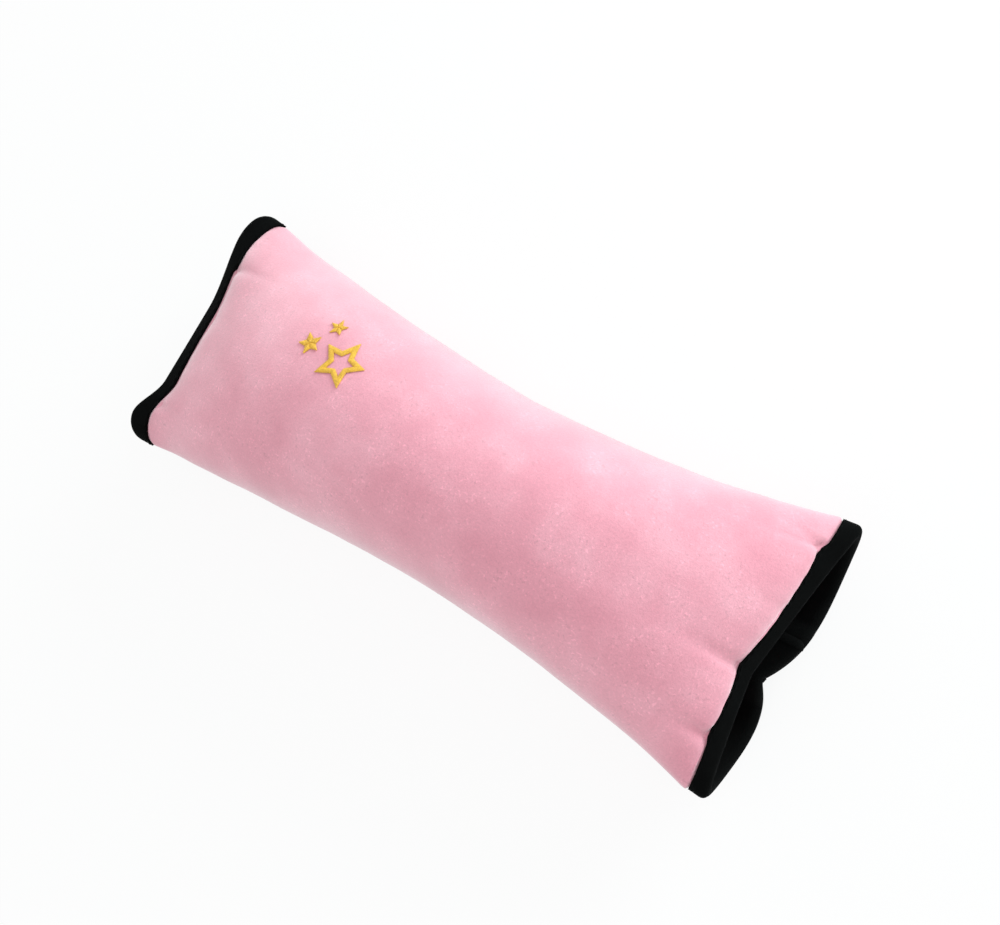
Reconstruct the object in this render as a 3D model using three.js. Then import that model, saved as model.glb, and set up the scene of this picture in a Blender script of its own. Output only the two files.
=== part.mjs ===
// Seat belt shoulder pad: a stuffed plush pad that wraps round the shoulder strap of a seat belt.
// An outer cover and an inner lining are sewn together, with loose fibre between them. The padded
// sheet is rolled into a C, so that its two flaps overlap at the back, where a hook tape on the
// outer flap grips a loop tape on the inner one. A folded tape binds each end, and a small group of
// embroidered stars sits on the front. Millimetres, +Z up: the pad lies on its back, X runs along
// the belt, and the origin is on the surface below the middle of the pad.

import * as THREE from "three";
import { mergeVertices } from "three/addons/utils/BufferGeometryUtils.js";

// Overall size
const LENGTH = 298; // between the corners of the two ends
const END_WIDTH = 116;
const WAIST_WIDTH = 89;
const HEIGHT = 78; // at the middle of the front

// Cloth, tapes and the clearance between pieces that touch
const COVER_T = 1.7; // short plush
const LINING_T = 1.1;
const CLEARANCE = 0.3;
const BINDING_WIDTH = 7.6; // each leg of the folded tape
const BINDING_T = 0.9;
const TAPE_WIDTH = 15;
const TAPE_T = 1.2;
const TAPE_LENGTH = 240;
const SANDWICH_T = COVER_T + CLEARANCE + LINING_T;

// The closure: the outer flap's end lies below the inner flap's end, with the two tapes between
const OVERLAP = 18;
const OVERLAP_STEP = SANDWICH_T + 2 * TAPE_T + 3 * CLEARANCE;
const FLAP_EDGE_GAP = 1; // the inner flap stops this far short of the outer flap's bend

// The passage for the belt, between the front padding and the flaps
const PASSAGE_WIDTH = 58;
const PASSAGE_FLOOR = 22;
const PASSAGE_CEILING = 33;
const PADDING_RAMP = 24; // from the binding's seam to the full padding

// A section has a top, two sides, two back lobes and the overlap. Heights are those of the cover's
// outer face.
const MIDDLE = {
  halfWidth: WAIST_WIDTH / 2,
  top: HEIGHT,
  side: 36,
  lobe: 0,
  lobeY: 27,
  lobeFlat: 7, // half the width of the flat that the pad rests on
  overlap: 8,
  sideUp: 23, // upright tangents at the side, towards the top and towards the lobe
  sideDown: 20,
  topShare: 0.55, // level tangents, as shares of the distance to the side
  lobeShare: 0.55,
};
const RIM = {
  halfWidth: END_WIDTH / 2,
  top: 44,
  side: 39,
  lobe: 9,
  lobeY: 23,
  lobeFlat: 3,
  overlap: 13,
  sideUp: 5.5,
  sideDown: 15,
  topShare: 0.75,
  lobeShare: 0.4,
};
// Each rim is pinched at the outer flap's free edge. The front runs straight from there to the
// corners, and the back's two lobes bulge past them.
const FRONT_PINCH = 7.6;
const BACK_PINCH = 6;
const OUTER_LOBE_BULGE = 4.6;
const INNER_LOBE_BULGE = 3.4;
const CORNER_ROUND = 1.5; // how far the tip of a corner is rounded back
const CORNER_FROM = 0.9; // share of the rim where the rounding starts
// How far the binding's leg tilts from the line of the belt, in degrees, on each stretch of the rim
const LEG_TILT = { top: 48, side: 5, lobe: 26, overlap: 7 };
const SEAM_TOP_SHARE = 0.67; // the seam rises from its corners later than the rim does
const WAIST_X = 15; // the pad is narrowest a little to the right of its middle
const WAIST_POWER = { left: 1.45, right: 1.8 }; // how late the sides spread towards each end
const PUFF_POWER = 2.4; // how flat the front stays along the pad
const PUFF_STEEPNESS = 0.62; // how steeply it meets the binding's seam
const LOBE_LIFT_FROM = 0.7; // share of the half length where the back leaves the surface
const SIDEWAYS_BOW = 2.4; // the middle lies this far to the side of the ends

// The section of the passage, where the padding is full
const PASSAGE = {
  halfWidth: PASSAGE_WIDTH / 2,
  top: PASSAGE_CEILING,
  side: (PASSAGE_CEILING + PASSAGE_FLOOR) / 2,
  lobe: PASSAGE_FLOOR,
  lobeY: 22.5,
  lobeFlat: 4.5,
  sideUp: 4,
  sideDown: 4,
  topShare: 0.9,
  lobeShare: 0.3,
};

// Embroidered stars: the middle and the outer radius of the large one. The others' places and sizes
// are shares of that radius. Each has a turn in degrees, and an outline's width or 0 for a full star.
const EMBROIDERY_X = -56;
const EMBROIDERY_Y = 14;
const STAR_RADIUS = 11.5;
const STAR_OUTLINE = 2.4;
const STARS = [
  { name: "embroidered_star_large", right: 0, up: 0, size: 1, turn: 12, outline: STAR_OUTLINE },
  { name: "embroidered_star_medium", right: -1.55, up: 0.1, size: 0.47, turn: -14, outline: 0 },
  { name: "embroidered_star_small", right: -1.05, up: 1.1, size: 0.35, turn: 30, outline: 0 },
];
const STAR_POINTS = 5;
const STAR_WAIST = 0.5; // inner radius over outer radius
const STAR_EDGE_STEPS = 3;
const STAR_RINGS = 2;
const THREAD_HEIGHT = 0.8;
const THREAD_CLEARANCE = 0.4; // the stitches bridge the cover's facets

// Grid density: rows from the middle to the binding's seam, and steps in each stretch of a section
const ROWS_TO_SEAM = 9;
const ROW_CROWDING = 1.7;
const STEPS = { overlap: 2, rise: 3, flat: 1, side: 5, top: 6 };
const FOLD_ANGLES = [45, 90, 135];

// Colours and finishes
const PINK_PLUSH = new THREE.MeshStandardMaterial({ color: 0xe9afbe, roughness: 0.95 });
const PINK_LINING = new THREE.MeshStandardMaterial({ color: 0xd58fa4, roughness: 0.9 });
const WHITE_FIBRE = new THREE.MeshStandardMaterial({ color: 0xf4f2ee, roughness: 1 });
const BLACK_BINDING = new THREE.MeshStandardMaterial({ color: 0x141414, roughness: 0.75 });
const BLACK_TAPE = new THREE.MeshStandardMaterial({ color: 0x1c1c1c, roughness: 0.85 });
const YELLOW_THREAD = new THREE.MeshStandardMaterial({ color: 0xe8bd4a, roughness: 0.5 });

const { clamp, lerp, smoothstep, degToRad } = THREE.MathUtils;

// The section at the binding's seam, one leg of the tape in from the rim
const legRise = (degrees) => BINDING_WIDTH * Math.sin(degToRad(degrees));
const SEAM = {
  ...RIM,
  halfWidth: RIM.halfWidth - legRise(LEG_TILT.side),
  top: RIM.top + legRise(LEG_TILT.top),
  lobe: RIM.lobe - legRise(LEG_TILT.lobe),
  overlap: RIM.overlap - legRise(LEG_TILT.overlap),
  topShare: SEAM_TOP_SHARE,
};

// The stretches of half a section, from the flap's free edge to the middle of the front
function halfSection(sign, s, overlapZ) {
  const end = OVERLAP / 2;
  const lobeIn = s.lobeY - s.lobeFlat;
  const lobeOut = s.lobeY + s.lobeFlat;
  const riseReach = (lobeIn - end) / 2;
  const lobeReach = s.lobeShare * (s.halfWidth - lobeOut);
  const at = (y, z) => new THREE.Vector2(sign * y, z);
  return [
    ["overlap", at(-end, overlapZ), at(end, overlapZ)],
    [
      "rise",
      at(end, overlapZ),
      at(end + riseReach, overlapZ),
      at(lobeIn - riseReach, s.lobe),
      at(lobeIn, s.lobe),
    ],
    ["flat", at(lobeIn, s.lobe), at(lobeOut, s.lobe)],
    [
      "side",
      at(lobeOut, s.lobe),
      at(lobeOut + lobeReach, s.lobe),
      at(s.halfWidth, s.side - s.sideDown),
      at(s.halfWidth, s.side),
    ],
    [
      "top",
      at(s.halfWidth, s.side),
      at(s.halfWidth, s.side + s.sideUp),
      at(s.topShare * s.halfWidth, s.top),
      at(0, s.top),
    ],
  ];
}

// A whole section, from the outer flap's free edge round the front to the inner flap's free edge
function section(s, outerFlapZ, innerFlapZ) {
  const outerHalf = halfSection(1, s, outerFlapZ);
  const innerHalf = halfSection(-1, s, innerFlapZ)
    .map(([stretch, ...corners]) => [stretch, ...corners.reverse()])
    .reverse();
  const points = [outerHalf[0][1]];
  for (const [stretch, ...corners] of [...outerHalf, ...innerHalf]) {
    const Curve = corners.length === 2 ? THREE.LineCurve : THREE.CubicBezierCurve;
    points.push(...new Curve(...corners).getPoints(STEPS[stretch]).slice(1));
  }
  points.at(-1).x -= FLAP_EDGE_GAP;
  return points.map((p) => new THREE.Vector3(0, p.x, p.y));
}

const coverSection = (s) => section(s, s.overlap, s.overlap + OVERLAP_STEP);

// The section's sizes at a station from -1 to 1, the two seams of the binding
function sizesAt(station) {
  const share = Math.abs(station);
  const waist = WAIST_X / (LENGTH / 2);
  const fromWaist = Math.abs(station - waist) / (1 - waist * Math.sign(station - waist));
  const power = station > waist ? WAIST_POWER.right : WAIST_POWER.left;
  const sizes = {};
  for (const key of Object.keys(MIDDLE)) sizes[key] = lerp(MIDDLE[key], SEAM[key], share ** 2);
  sizes.halfWidth = lerp(MIDDLE.halfWidth, SEAM.halfWidth, fromWaist ** power);
  const puff = (1 - share ** PUFF_POWER) ** PUFF_STEEPNESS;
  sizes.top = lerp(SEAM.top, MIDDLE.top, puff);
  sizes.lobe = lerp(MIDDLE.lobe, SEAM.lobe, smoothstep(share, LOBE_LIFT_FROM, 1));
  return sizes;
}

// Rows along the pad: 0 is the middle, 1 or -1 a seam of the binding, and 2 or -2 a rim
function stations() {
  const inner = Array.from({ length: ROWS_TO_SEAM }, (_, k) => 1 - (k / ROWS_TO_SEAM) ** ROW_CROWDING);
  const half = [2, 1.5, ...inner];
  return [...half.map((station) => -station), 0, ...half.reverse()];
}

// From 0 at the pinch and the corner to 1 at a third of the way between them
const lobeBulge = (share) => 6.75 * share * (1 - share) ** 2;

// How far a point of the rim lies inside the plane of the corners
function rimSetback({ y, z }) {
  const pinchY = -OVERLAP / 2;
  const share = (y - pinchY) / (Math.sign(y - pinchY) * RIM.halfWidth - pinchY);
  const corner = CORNER_ROUND * smoothstep(share, CORNER_FROM, 1);
  if (z >= RIM.side) return corner + FRONT_PINCH * (1 - share);
  const bulge = y > pinchY ? OUTER_LOBE_BULGE : INNER_LOBE_BULGE;
  return corner + BACK_PINCH * (1 - share) ** 2 - bulge * lobeBulge(share);
}

// The outer face of the cover as rows of points
function coverGrid(rows) {
  const rim = coverSection(RIM);
  const seam = coverSection(SEAM);
  const rimX = rim.map((p) => LENGTH / 2 - rimSetback(p));
  const seamX = rim.map((p, i) => {
    const sideways = Math.hypot(p.y - seam[i].y, p.z - seam[i].z);
    return rimX[i] - Math.sqrt(BINDING_WIDTH ** 2 - sideways ** 2);
  });
  return rows.map((station) => {
    const inner = clamp(station, -1, 1);
    const past = Math.abs(station - inner);
    return coverSection(sizesAt(inner)).map((p, i) => {
      const x = lerp(inner * seamX[i], inner * rimX[i], past);
      return bowed(new THREE.Vector3(x, lerp(p.y, rim[i].y, past), lerp(p.z, rim[i].z, past)));
    });
  });
}

// Moves a point of the straight pad sideways, by its place along the pad
function bowed(p) {
  const share = (2 * p.x) / LENGTH;
  p.y -= SIDEWAYS_BOW * (1 - share ** 2);
  return p;
}

// Unit normals of a grid, pointing out of the padding on the cover's side
function normalsOf(grid) {
  const between = (a, b) => new THREE.Vector3().subVectors(b, a);
  return grid.map((row, i) =>
    row.map((_, j) => {
      const along = between(grid[Math.max(i - 1, 0)][j], grid[Math.min(i + 1, grid.length - 1)][j]);
      const around = between(row[Math.max(j - 1, 0)], row[Math.min(j + 1, row.length - 1)]);
      return around.cross(along).normalize();
    }),
  );
}

const offset = (grid, normals, distance) =>
  grid.map((row, i) => row.map((p, j) => p.clone().addScaledVector(normals[i][j], distance)));

// How full the padding is, from 0 to 1, at each point of the grid: there is none at the rims and in
// the overlap, and it rises from there
function fillGrid(rows) {
  const half = [0];
  for (const [stretch, steps] of Object.entries(STEPS)) {
    for (let k = 1; k <= steps; k++) {
      half.push({ overlap: 0, rise: smoothstep(k / steps, 0, 1) }[stretch] ?? 1);
    }
  }
  const around = [...half, ...half.slice(0, -1).reverse()];
  return rows.map((station) => {
    const share = Math.min(Math.abs(station), 1);
    const along = smoothstep(((1 - share) * LENGTH) / 2, 0, PADDING_RAMP);
    return around.map((fill) => along * fill);
  });
}

// The face of the lining, inside the passage: it follows the cover where there is no padding, and
// the passage's own section where the padding is full
function liningGrid(rows, fill, cover, coverNormals) {
  const sandwich = offset(cover, coverNormals, -SANDWICH_T);
  return rows.map((station, i) => {
    const flapZ = sizesAt(clamp(station, -1, 1)).overlap + SANDWICH_T;
    const passage = section(PASSAGE, flapZ, flapZ + OVERLAP_STEP);
    return sandwich[i].map((p, j) => {
      const target = bowed(new THREE.Vector3(p.x, passage[j].y, passage[j].z));
      return p.clone().lerp(target, fill[i][j]);
    });
  });
}

// The lining's own normals, which turn to the cover's where the two layers lie together
function liningNormalsOf(lining, fill, coverNormals) {
  const own = normalsOf(lining);
  return own.map((row, i) =>
    row.map((normal, j) => coverNormals[i][j].clone().lerp(normal, fill[i][j]).normalize()),
  );
}

// A solid between two grids, where the first lies on the side that the normals point to. Its
// diagonals run the same way in space whichever way the rows go, so that layers nest. A ring's last
// column lies on its first.
function shell(first, second, isRing = false) {
  const rows = first.length;
  const columns = first[0].length;
  const points = [...first, ...second].flat();
  const index = [];
  const at = (i, j) => i * columns + j;
  const under = rows * columns;
  const quad = (a, b, c, d) => index.push(a, b, c, b, d, c);
  const wall = (a, b) => quad(a, b, a + under, b + under);
  for (let i = 0; i + 1 < rows; i++) {
    const forward = first[i + 1][0].x > first[i][0].x;
    for (let j = 0; j + 1 < columns; j++) {
      const [a, b, c, d] = [at(i, j), at(i, j + 1), at(i + 1, j), at(i + 1, j + 1)];
      const [p, q, r, s] = forward ? [a, b, c, d] : [b, d, a, c];
      quad(p, q, r, s);
      quad(p + under, r + under, q + under, s + under);
    }
    if (!isRing) {
      wall(at(i, 0), at(i + 1, 0));
      wall(at(i + 1, columns - 1), at(i, columns - 1));
    }
  }
  for (let j = 0; j + 1 < columns; j++) {
    wall(at(0, j + 1), at(0, j));
    wall(at(rows - 1, j), at(rows - 1, j + 1));
  }
  const loose = new THREE.BufferGeometry().setFromPoints(points);
  loose.setIndex(index);
  return welded(loose);
}

// Joins the vertices that lie together, and drops the triangles that this closes
function welded(loose) {
  const geometry = mergeVertices(loose);
  const all = geometry.index.array;
  const kept = [];
  for (let k = 0; k < all.length; k += 3) {
    const [a, b, c] = all.slice(k, k + 3);
    if (a !== b && b !== c && c !== a) kept.push(a, b, c);
  }
  geometry.setIndex(kept);
  geometry.computeVertexNormals();
  return geometry;
}

// The fibre between the two layers, from the first padded row and column to the last
function fillingGeometry(cover, coverNormals, lining, liningNormals) {
  const firstRow = 3;
  const firstColumn = STEPS.overlap + 1;
  const inside = (grid) =>
    grid.slice(firstRow, -firstRow).map((row) => row.slice(firstColumn, -firstColumn));
  const outer = offset(cover, coverNormals, -COVER_T - CLEARANCE);
  const inner = offset(lining, liningNormals, LINING_T + CLEARANCE);
  return shell(inside(outer), inside(inner));
}

// The folded tape round one end: a leg on the cover, a round fold and a leg on the lining
function bindingGeometry(end, cover, coverNormals, lining) {
  const rowsAt = (grid) => (end > 0 ? grid.slice(-3) : grid.slice(0, 3).reverse());
  const outer = rowsAt(cover);
  const inner = rowsAt(lining);
  const normals = rowsAt(coverNormals);
  const fold = (distance) =>
    FOLD_ANGLES.map(degToRad).map((angle) =>
      outer[2].map((p, j) => {
        const outward = p.clone().sub(outer[1][j]).normalize();
        const radius = SANDWICH_T / 2 + distance;
        return p
          .clone()
          .lerp(inner[2][j], 0.5)
          .addScaledVector(normals[2][j], radius * Math.cos(angle))
          .addScaledVector(outward, radius * Math.sin(angle));
      }),
    );
  const skin = (distance) => [
    ...offset(outer, normals, distance),
    ...fold(distance),
    ...offset(inner, normals, -distance).reverse(),
  ];
  const near = skin(CLEARANCE);
  const far = skin(CLEARANCE + BINDING_T);
  return end > 0 ? shell(far, near) : shell(near, far);
}

// A tape along the closure, level across, between two heights above a line of the grid
function tapeGeometry(line, low, high) {
  const reach = TAPE_LENGTH / 2;
  const pointAt = (x) => {
    const next = line.findIndex((p) => p.x > x);
    const [a, b] = [line[next - 1], line[next]];
    return a.clone().lerp(b, (x - a.x) / (b.x - a.x));
  };
  const inner = line.filter((p) => Math.abs(p.x) < reach);
  const middle = [pointAt(-reach), ...inner, pointAt(reach)];
  const level = (height) =>
    middle.map(({ x, y, z }) =>
      [TAPE_WIDTH / 2, -TAPE_WIDTH / 2].map((side) => new THREE.Vector3(x, y + side, z + height)),
    );
  return shell(level(high), level(low));
}

// The outline of a star round its centre, with points along its edges so that it can follow a
// curved face; its last point lies on its first
function starOutline(radius) {
  const corner = (k) => {
    const r = k % 2 ? radius * STAR_WAIST : radius;
    const angle = (k * Math.PI) / STAR_POINTS;
    return new THREE.Vector2(r * Math.cos(angle), r * Math.sin(angle));
  };
  const corners = 2 * STAR_POINTS;
  return Array.from({ length: corners * STAR_EDGE_STEPS + 1 }, (_, n) => {
    const k = Math.floor(n / STAR_EDGE_STEPS);
    return corner(k % corners).lerp(corner((k + 1) % corners), (n % STAR_EDGE_STEPS) / STAR_EDGE_STEPS);
  });
}

// The radius of the star whose edges lie a border's width inside those of a larger star
function insetRadius(radius, border) {
  const tip = new THREE.Vector2(1, 0);
  const middle = new THREE.Vector2();
  const notch = new THREE.Vector2(STAR_WAIST, 0).rotateAround(middle, Math.PI / STAR_POINTS);
  const edgeDistance = tip.cross(notch) / tip.distanceTo(notch);
  return radius - border / edgeDistance;
}

// Satin stitches in the shape of a star, laid on the cover from above
function starGeometry({ right, up, size, turn, outline }, coverMesh) {
  const radius = STAR_RADIUS * size;
  const centre = new THREE.Vector2(EMBROIDERY_X + STAR_RADIUS * right, EMBROIDERY_Y + STAR_RADIUS * up);
  const down = new THREE.Vector3(0, 0, -1);
  const drape = (p) => {
    const above = new THREE.Vector3(p.x, p.y, 2 * HEIGHT);
    const [hit] = new THREE.Raycaster(above, down).intersectObject(coverMesh);
    return (height) => hit.point.clone().addScaledVector(hit.face.normal, height);
  };
  const hole = outline > 0 ? insetRadius(radius, outline) : 0;
  const rings = Array.from({ length: STAR_RINGS + 1 }, (_, k) => {
    const ring = starOutline(lerp(hole, radius, k / STAR_RINGS));
    return ring.map((p) => drape(p.add(centre).rotateAround(centre, degToRad(turn))));
  });
  const level = (height) => rings.map((ring) => ring.map((place) => place(height)));
  return shell(level(THREAD_CLEARANCE), level(THREAD_CLEARANCE + THREAD_HEIGHT), true);
}

const rows = stations();
const cover = coverGrid(rows);
const coverNormals = normalsOf(cover);
const fill = fillGrid(rows);
const lining = liningGrid(rows, fill, cover, coverNormals);
const liningNormals = liningNormalsOf(lining, fill, coverNormals);
const column = (grid, index) => grid.map((row) => row.at(index));
const flapMiddle = STEPS.overlap / 2; // the column along the middle of a flap's end

const pad = new THREE.Group();
pad.name = "seat_belt_shoulder_pad";
function add(name, geometry, material) {
  const mesh = new THREE.Mesh(geometry, material);
  mesh.name = name;
  pad.add(mesh);
  return mesh;
}

const coverSolid = shell(cover, offset(cover, coverNormals, -COVER_T));
const coverMesh = add("outer_cover", coverSolid, PINK_PLUSH);
add("inner_lining", shell(offset(lining, liningNormals, LINING_T), lining), PINK_LINING);
add("fibre_filling", fillingGeometry(cover, coverNormals, lining, liningNormals), WHITE_FIBRE);
add("end_binding_left", bindingGeometry(-1, cover, coverNormals, lining), BLACK_BINDING);
add("end_binding_right", bindingGeometry(1, cover, coverNormals, lining), BLACK_BINDING);

const outerFlap = column(lining, flapMiddle);
const innerFlap = column(cover, -1 - flapMiddle);
add("hook_tape", tapeGeometry(outerFlap, CLEARANCE, CLEARANCE + TAPE_T), BLACK_TAPE);
add("loop_tape", tapeGeometry(innerFlap, -CLEARANCE - TAPE_T, -CLEARANCE), BLACK_TAPE);
for (const star of STARS) add(star.name, starGeometry(star, coverMesh), YELLOW_THREAD);

export default pad;
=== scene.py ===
"""Looks for the seat belt shoulder pad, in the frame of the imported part.

The padded sheet is built again from the part's own formulas, much finer, with the puckers, soft
lumps and stitches that the solids leave out. Lengths are in millimetres, and each mesh is scaled to
metres as it is made.
"""

import math

import bpy
import numpy as np
from mathutils import Matrix, Vector, noise
from mathutils.bvhtree import BVHTree

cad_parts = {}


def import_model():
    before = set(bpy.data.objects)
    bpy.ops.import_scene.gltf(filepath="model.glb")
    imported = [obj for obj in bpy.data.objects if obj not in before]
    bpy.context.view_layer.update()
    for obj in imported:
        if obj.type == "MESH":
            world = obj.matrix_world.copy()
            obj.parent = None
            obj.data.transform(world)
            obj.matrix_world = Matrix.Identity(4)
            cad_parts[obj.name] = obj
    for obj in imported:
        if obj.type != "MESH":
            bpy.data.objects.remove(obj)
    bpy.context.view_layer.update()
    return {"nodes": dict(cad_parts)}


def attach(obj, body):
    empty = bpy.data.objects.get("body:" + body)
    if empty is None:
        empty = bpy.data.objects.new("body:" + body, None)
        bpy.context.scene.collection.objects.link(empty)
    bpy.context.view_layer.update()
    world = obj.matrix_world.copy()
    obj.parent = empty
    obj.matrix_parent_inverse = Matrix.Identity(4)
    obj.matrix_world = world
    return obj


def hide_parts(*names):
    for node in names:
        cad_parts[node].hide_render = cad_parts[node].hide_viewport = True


MM = 0.001

# The part's own sizes
LENGTH, END_WIDTH, WAIST_WIDTH, HEIGHT = 298, 116, 89, 78
COVER_T, LINING_T, CLEARANCE = 1.7, 1.1, 0.3
BINDING_WIDTH, BINDING_T = 7.6, 0.9
TAPE_T, TAPE_LENGTH = 1.2, 240
SANDWICH_T = COVER_T + CLEARANCE + LINING_T
OVERLAP = 18
OVERLAP_STEP = SANDWICH_T + 2 * TAPE_T + 3 * CLEARANCE
FLAP_EDGE_GAP = 1
PASSAGE_WIDTH, PASSAGE_FLOOR, PASSAGE_CEILING = 58, 22, 33
PADDING_RAMP = 24
MIDDLE = {
    "half_width": WAIST_WIDTH / 2,
    "top": HEIGHT,
    "side": 36,
    "lobe": 0,
    "lobe_y": 27,
    "lobe_flat": 7,
    "overlap": 8,
    "side_up": 23,
    "side_down": 20,
    "top_share": 0.55,
    "lobe_share": 0.55,
}
RIM = {
    "half_width": END_WIDTH / 2,
    "top": 44,
    "side": 39,
    "lobe": 9,
    "lobe_y": 23,
    "lobe_flat": 3,
    "overlap": 13,
    "side_up": 5.5,
    "side_down": 15,
    "top_share": 0.75,
    "lobe_share": 0.4,
}
PASSAGE = {
    "half_width": PASSAGE_WIDTH / 2,
    "top": PASSAGE_CEILING,
    "side": (PASSAGE_CEILING + PASSAGE_FLOOR) / 2,
    "lobe": PASSAGE_FLOOR,
    "lobe_y": 22.5,
    "lobe_flat": 4.5,
    "side_up": 4,
    "side_down": 4,
    "top_share": 0.9,
    "lobe_share": 0.3,
}
FRONT_PINCH, BACK_PINCH = 7.6, 6
OUTER_LOBE_BULGE, INNER_LOBE_BULGE = 4.6, 3.4
BULGE_SCALE = 27 / 4  # share * (1 - share)**2 is 4 / 27 at its highest
LEG_TILT = {"top": 48, "side": 5, "lobe": 26, "overlap": 7}
SEAM_TOP_SHARE = 0.67
WAIST_X, WAIST_POWER = 15, {"left": 1.45, "right": 1.8}
PUFF_POWER, PUFF_STEEPNESS = 2.4, 0.62
LOBE_LIFT_FROM = 0.7
SIDEWAYS_BOW = 2.4
EMBROIDERY_X, EMBROIDERY_Y = -56, 14
STAR_RADIUS, STAR_OUTLINE = 11.5, 2.4
STARS = [
    {"name": "star_large", "right": 0, "up": 0, "size": 1, "turn": 12, "outline": STAR_OUTLINE},
    {"name": "star_medium", "right": -1.55, "up": 0.1, "size": 0.47, "turn": -14, "outline": 0},
    {"name": "star_small", "right": -1.05, "up": 1.1, "size": 0.35, "turn": 30, "outline": 0},
]
STAR_POINTS, STAR_WAIST = 5, 0.5

# The camera that fits the photograph
CAMERA_YAW, CAMERA_PITCH, CAMERA_ROLL = 20.4, -1.09, 30.21
CAMERA_DISTANCE, CAMERA_FOCUS = 518, 1219.7
CAMERA_TARGET = Vector((0, 0, 30))
TARGET_PIXEL = (465.5, 478.6)
FRAME_WIDTH, FRAME_HEIGHT = 1000, 925
SENSOR_WIDTH = 36
CLIP_START = 10

# The light, and the paper that the pad lies on
LAMPS = [
    {"name": "key", "place": (400, 1250, 350), "size": 800, "power": 18.5},
    {"name": "fill", "place": (200, -300, 1500), "size": 1200, "power": 5.5},
]
LAMP_COLOUR = (0.87, 1, 1)
WORLD_STRENGTH = 0.66
PAPER_COLOUR = (0.9, 0.9, 0.9, 1)
PAPER_SHADE = 0.12  # the share of light and shadow in what the camera sees of the paper
FLOOR_REACH, FLOOR_Z = 4000, -0.2

# Grid density
STEPS = {"overlap": 14, "rise": 16, "flat": 8, "side": 42, "top": 56}
ROWS_TO_SEAM = 72
ROW_CROWDING = 1.7
LEG_ROWS = 12
FOLD_STEPS = 10
CAP_STEPS = 6
THREAD_RINGS, THREAD_SIDES = 7, 6
SHARP_ANGLE = 50

# The filling's grid is coarser, and starts this many rows and columns inside the seams and the flaps
FILLING_STEP, FILLING_ROWS_IN, FILLING_COLUMNS_IN = 3, 8, 6

# Where the cloth is gathered into each binding, in order from the outer flap: the face, the place
# across it, how far the tape's edge lies inside the seam just before and after it, and then, between
# there and the next gather, how far the cloth puffs out and how far the tape's edge draws back
GATHERS = {
    1: [
        {"face": "back", "y": 19, "reach": (0, 0), "puff": 0.8, "draw": 0},
        {"face": "back", "y": 42, "reach": (-1.3, -1.3), "puff": 1.5, "draw": 0.5},
        {"face": "front", "y": 44, "reach": (-2, 0.6), "puff": 2.3, "draw": 2.2},
        {"face": "front", "y": -9, "reach": (-0.6, -0.6), "puff": 2.1, "draw": 1.9},
        {"face": "front", "y": -37, "reach": (0.6, -1.3), "puff": 1.9, "draw": 0.9},
        {"face": "back", "y": -44, "reach": (-3, -1.3), "puff": 0.8, "draw": 0},
        {"face": "back", "y": -20, "reach": (0, 0), "puff": 0, "draw": 0},
    ],
    -1: [
        {"face": "back", "y": 20, "reach": (0, 0), "puff": 0.8, "draw": 0},
        {"face": "back", "y": 45, "reach": (-1.2, -1.2), "puff": 0.5, "draw": 1.6},
        {"face": "front", "y": 30, "reach": (2.4, -1.6), "puff": -0.1, "draw": 0.6},
        {"face": "front", "y": -40, "reach": (0.2, 2.2), "puff": 0.5, "draw": 1.6},
        {"face": "back", "y": -40, "reach": (-1.5, -1.2), "puff": 0.8, "draw": 0},
        {"face": "back", "y": -19, "reach": (0, 0), "puff": 0, "draw": 0},
    ],
}
GATHER_STEP = 5  # the length of tape over which its edge steps at a gather
GATHER_SHARPNESS = 0.42
PUFF_LENGTH = 15
PUFF_EDGE = 1.2  # the puff rises this close to the tape

# Creases that run on from the gathers of each end: the place across the front, depth, width, length
# and slant. The slant turns a crease aside with the distance from the seam.
CREASES = {
    1: [
        {"y": 44, "depth": 1.2, "width": 2.2, "length": 12, "slant": 0.35},
        {"y": -9, "depth": 1.3, "width": 1.9, "length": 17, "slant": -0.1},
        {"y": -37, "depth": 1.5, "width": 2.2, "length": 15, "slant": -0.25},
        {"y": 17, "depth": 0.5, "width": 3.5, "length": 10, "slant": 0.1},
    ],
    -1: [
        {"y": 30, "depth": 1.4, "width": 2.4, "length": 14, "slant": 0.2},
        {"y": -40, "depth": 1.2, "width": 2.2, "length": 11, "slant": -0.2},
        {"y": 4, "depth": 0.6, "width": 4, "length": 11, "slant": 0},
    ],
}
FADE_POWER = 1.3  # how suddenly puffs and creases fade at their length
RIPPLE_DEPTH, RIPPLE_PITCH, RIPPLE_LENGTH = 0.12, 7.5, 6
RIPPLE_WAVER, RIPPLE_WAVER_LENGTH = 1.7, 17
LUMPS = [(0.8, 36), (0.25, 15)]  # height and size
LUMPS_FROM_SEAM = 20

# How far the corners of each rim are rounded off, and from what share of the way to them. Those of
# the left end are rounder than the part's.
CORNER_ROUND, CORNER_FROM = {1: 0.7, -1: 6}, {1: 0.8, -1: 0.72}

# The front of the left rim is pinched evenly in its middle. On the way to each corner the pinch
# eases from the first share to the second, until the third share of it is left. The front also
# lies higher than the part's.
LEFT_PINCH = {"outer": (0.25, 0.84, 0.24), "inner": (0.42, 0.86, 0.06)}
LEFT_RIM_LIFT = 2

# The strips that close the raw edges of the flaps, and their gap to the cloth
EDGE_GAP, EDGE_T = 0.12, 0.5

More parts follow.
